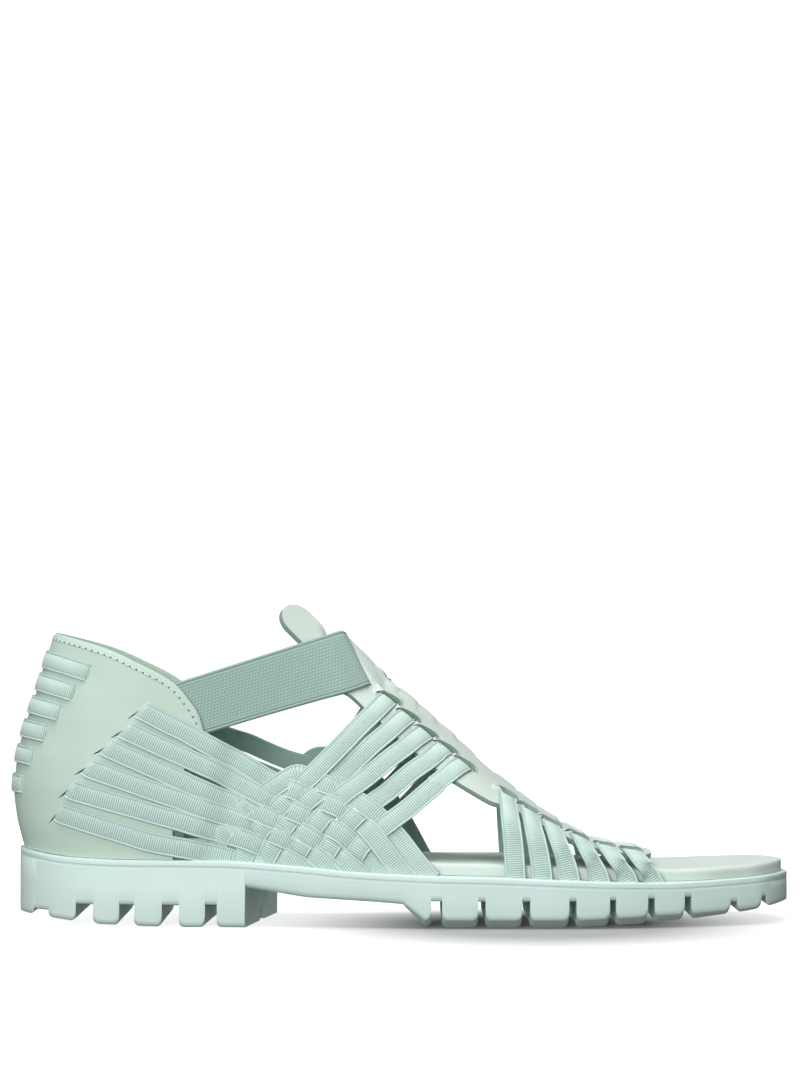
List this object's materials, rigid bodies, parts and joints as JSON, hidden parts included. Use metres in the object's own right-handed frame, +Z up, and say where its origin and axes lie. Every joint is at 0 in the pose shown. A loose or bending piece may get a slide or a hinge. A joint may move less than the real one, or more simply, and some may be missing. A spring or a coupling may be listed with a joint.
{
  "type": "woven lug-soled sandal",
  "caption": "Open-toed sandal for the right foot, woven from elastic tapes between a leather heel cup and an instep strip, on a notched rubber sole.",
  "frame": {"origin": "on the floor, under the middle of the shoe's length and width", "axes": "+X from heel to toe, +Y to the inner side of the foot, +Z up"},
  "size_m": [0.2778, 0.082, 0.1124],
  "materials": {
    "rubber": "moulded pale mint rubber, matt",
    "leather": "smooth sage leather, fine grain",
    "pale_leather": "smooth pale sage leather, matt",
    "elastic_tape": "ribbed elastic tape with beaded edges",
    "elastic_band": "fine ribbed knitted elastic"
  },
  "bodies": {
    "root": {"outsole": "rubber", "insole": "pale_leather", "counter": "leather", "vamp_spine": "pale_leather", "woven_upper": "elastic_tape", "instep_band_outer": "elastic_band", "instep_band_inner": "elastic_band", "toe_strap_1": "elastic_tape", "toe_strap_2": "elastic_tape", "toe_strap_3": "elastic_tape", "toe_strap_4": "elastic_tape", "toe_strap_5": "elastic_tape", "toe_strap_6": "elastic_tape", "heel_tape_1": "elastic_tape", "heel_tape_2": "elastic_tape", "heel_tape_3": "elastic_tape", "heel_tape_4": "elastic_tape", "heel_tape_5": "elastic_tape", "heel_tape_6": "elastic_tape"}
  },
  "joints": []
}
